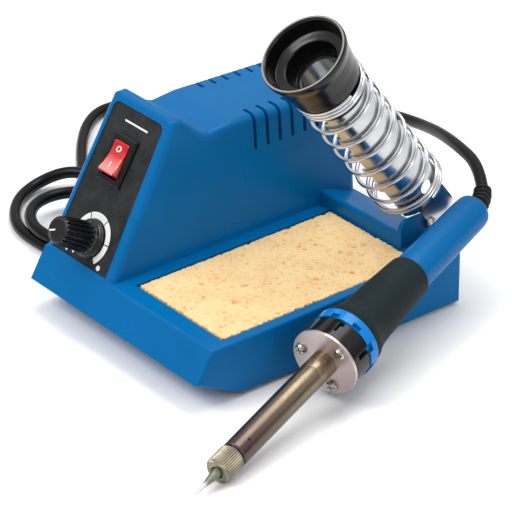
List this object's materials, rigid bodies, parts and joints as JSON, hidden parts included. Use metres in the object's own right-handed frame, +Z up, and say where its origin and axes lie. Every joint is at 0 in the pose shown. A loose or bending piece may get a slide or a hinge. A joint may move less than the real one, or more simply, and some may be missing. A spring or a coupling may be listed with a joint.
{
  "type": "soldering iron station",
  "caption": "Mains soldering station: sloping control housing with rocker switch and knob, sponge tray, sprung funnel holder and a corded iron leaning on the rim.",
  "frame": {"origin": "centre of the footprint of everything except the iron's lead, on the bench", "axes": "+X to the right seen from the front, +Y from the front to the back, +Z up"},
  "size_m": [0.3078, 0.2525, 0.1436],
  "materials": {
    "blue_plastic": "glossy moulded ABS",
    "panel_charcoal": "satin printed sheet",
    "black_plastic": "glossy phenolic",
    "matte_black": "matte moulded",
    "red_rocker": "translucent red",
    "rubber_black": "matte rubber",
    "sponge_cellulose": "open cell cellulose sponge",
    "spring_chrome": "bright plated wire",
    "steel": "brushed sheet",
    "screw_steel": "plated",
    "barrel_steel": "heat-tinted steel",
    "disc_steel": "satin plated",
    "tip_metal": "tinned and dull plated",
    "heater_ceramic": "mica and ceramic",
    "board_green": "epoxy laminate",
    "component": "moulded component",
    "aluminium": "extruded",
    "brass": "plain",
    "clear_glass": "clear",
    "lead_black": "smooth flexible lead"
  },
  "bodies": {
    "station": {"case_shell": "blue_plastic", "bottom_cover": "matte_black", "rubber_feet": "rubber_black", "cover_screws": "screw_steel", "control_panel": "panel_charcoal", "switch_body": "black_plastic", "switch_terminals": "brass", "potentiometer": "aluminium", "potentiometer_nut": "brass", "circuit_board": "board_green", "board_posts": "matte_black", "film_capacitor": "component", "choke_coil": "component", "heat_sink": "aluminium", "triac": "black_plastic", "fuse_holder": "matte_black", "fuse": "clear_glass", "terminal_block": "board_green", "lead_gland": "matte_black", "mains_gland": "matte_black", "holder_funnel": "black_plastic", "holder_spring": "spring_chrome", "holder_strip": "steel", "holder_screw": "screw_steel", "iron_lead": "lead_black"},
    "iron": {"iron_tip": "tip_metal", "tip_nut": "steel", "barrel": "barrel_steel", "heating_element": "heater_ceramic", "heat_shield_disc": "disc_steel", "disc_screws": "screw_steel", "heat_collar": "black_plastic", "handle_ring": "blue_plastic", "rubber_grip": "rubber_black", "handle": "blue_plastic", "strain_relief": "rubber_black"},
    "rocker": {"switch_rocker": "red_rocker"},
    "knob": {"control_knob": "matte_black", "potentiometer_shaft": "aluminium"},
    "sponge": {"cleaning_sponge": "sponge_cellulose"}
  },
  "joints": [
    {"name": "rocker_swing", "type": "hinge", "parent": "station", "child": "rocker", "pos_m": [-0.06474, -0.03351, 0.06966], "axis": [1, 0, 0], "range_deg": [0, 24]},
    {"name": "knob_turn", "type": "hinge", "parent": "station", "child": "knob", "pos_m": [-0.06114, -0.05217, 0.03876], "axis": [0, 0.8531, -0.5218], "range_deg": [-30, 260]},
    {"name": "sponge_lift", "type": "slide", "parent": "station", "child": "sponge", "axis": [0, 0, 1], "range_m": [0, 0.017]},
    {"name": "iron_lift", "type": "slide", "parent": "station", "child": "iron", "axis": [0.5999, -0.15, 0.7859], "range_m": [0, 0.06]}
  ]
}
